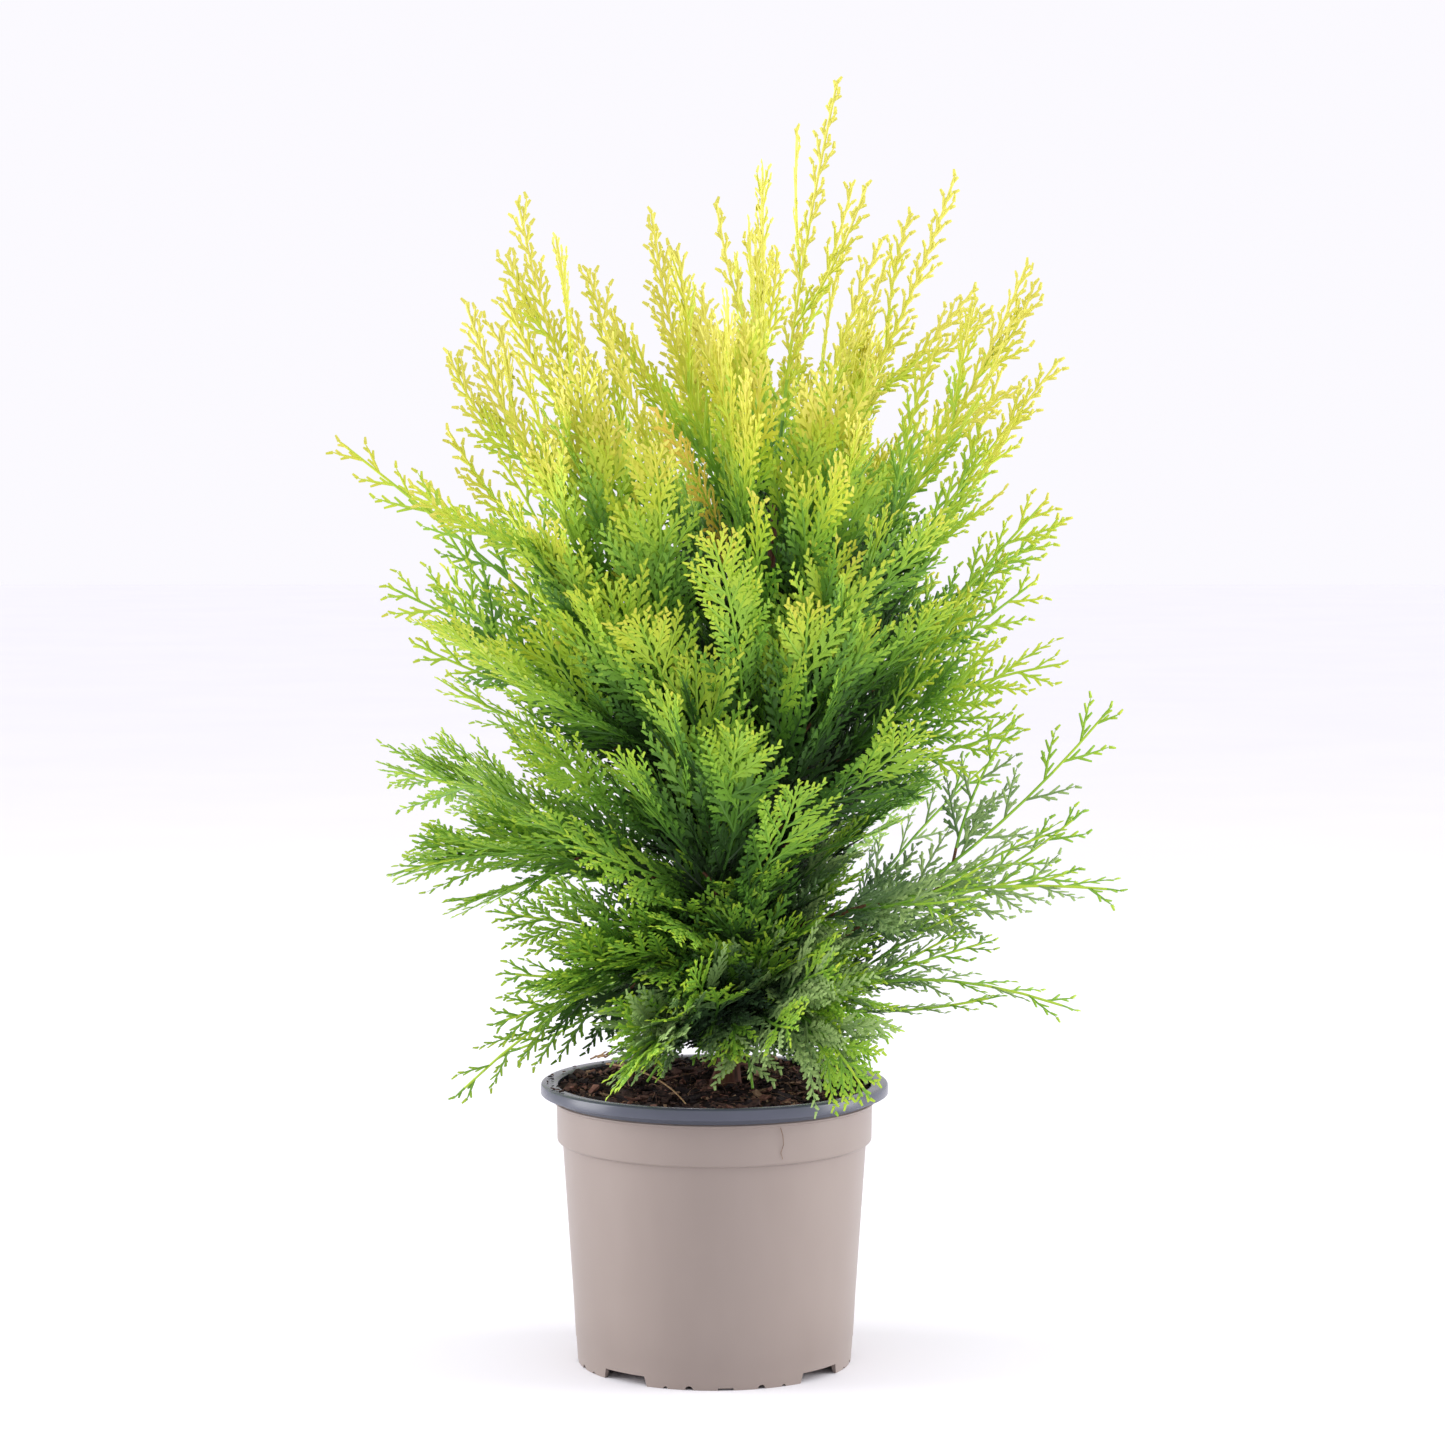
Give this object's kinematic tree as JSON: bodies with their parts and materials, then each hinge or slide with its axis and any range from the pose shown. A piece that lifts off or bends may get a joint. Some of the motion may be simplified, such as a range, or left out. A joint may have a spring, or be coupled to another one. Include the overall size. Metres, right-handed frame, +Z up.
{
  "type": "lawson cypress in a nursery pot",
  "caption": "Young golden-tipped Lawson cypress with loose upright fans of flat feathery sprays, growing in a round taupe nursery pot.",
  "frame": {"origin": "on the pot's axis, at the level it stands on", "axes": "+Z up along the pot's axis, -Y towards the front seen in the picture, +X to its right"},
  "size_m": [0.4184, 0.3251, 0.694],
  "materials": {
    "pot_taupe": "satin",
    "growing_medium": "matte",
    "bark": "matte",
    "bough_bark": "matte",
    "foliage_skirt": "matte",
    "foliage_hanging": "matte",
    "foliage_low": "matte",
    "foliage_middle": "matte",
    "foliage_upper": "matte",
    "foliage_high": "matte",
    "foliage_leader": "matte"
  },
  "bodies": {
    "root": {"bough_low_0": "bough_bark", "bough_low_1": "bough_bark", "bough_low_2": "bough_bark", "bough_low_3": "bough_bark", "bough_low_4": "bough_bark", "bough_low_5": "bough_bark", "bough_low_6": "bough_bark", "bough_middle_0": "bough_bark", "bough_middle_1": "bough_bark", "bough_middle_2": "bough_bark", "bough_middle_3": "bough_bark", "bough_middle_4": "bough_bark", "bough_middle_5": "bough_bark", "bough_middle_6": "bough_bark", "foliage_hanging_0": "foliage_hanging", "foliage_hanging_1": "foliage_hanging", "foliage_hanging_2": "foliage_hanging", "foliage_hanging_3": "foliage_hanging", "foliage_hanging_4": "foliage_hanging", "foliage_hanging_5": "foliage_hanging", "foliage_high_0": "foliage_high", "foliage_high_1": "foliage_high", "foliage_high_2": "foliage_high", "foliage_high_3": "foliage_high", "foliage_high_4": "foliage_high", "foliage_high_5": "foliage_high", "foliage_high_6": "foliage_high", "foliage_leader_0": "foliage_leader", "foliage_leader_1": "foliage_leader", "foliage_leader_2": "foliage_leader", "foliage_leader_3": "foliage_leader", "foliage_low_0": "foliage_low", "foliage_low_1": "foliage_low", "foliage_low_2": "foliage_low", "foliage_low_3": "foliage_low", "foliage_low_4": "foliage_low", "foliage_low_5": "foliage_low", "foliage_low_6": "foliage_low", "foliage_middle_0": "foliage_middle", "foliage_middle_1": "foliage_middle", "foliage_middle_2": "foliage_middle", "foliage_middle_3": "foliage_middle", "foliage_middle_4": "foliage_middle", "foliage_middle_5": "foliage_middle", "foliage_middle_6": "foliage_middle", "foliage_skirt_0": "foliage_skirt", "foliage_skirt_1": "foliage_skirt", "foliage_skirt_2": "foliage_skirt", "foliage_skirt_3": "foliage_skirt", "foliage_skirt_4": "foliage_skirt", "foliage_skirt_5": "foliage_skirt", "foliage_upper_0": "foliage_upper", "foliage_upper_1": "foliage_upper", "foliage_upper_2": "foliage_upper", "foliage_upper_3": "foliage_upper", "foliage_upper_4": "foliage_upper", "foliage_upper_5": "foliage_upper", "growing_medium": "growing_medium", "pot": "pot_taupe", "trunk": "bark"}
  },
  "joints": []
}
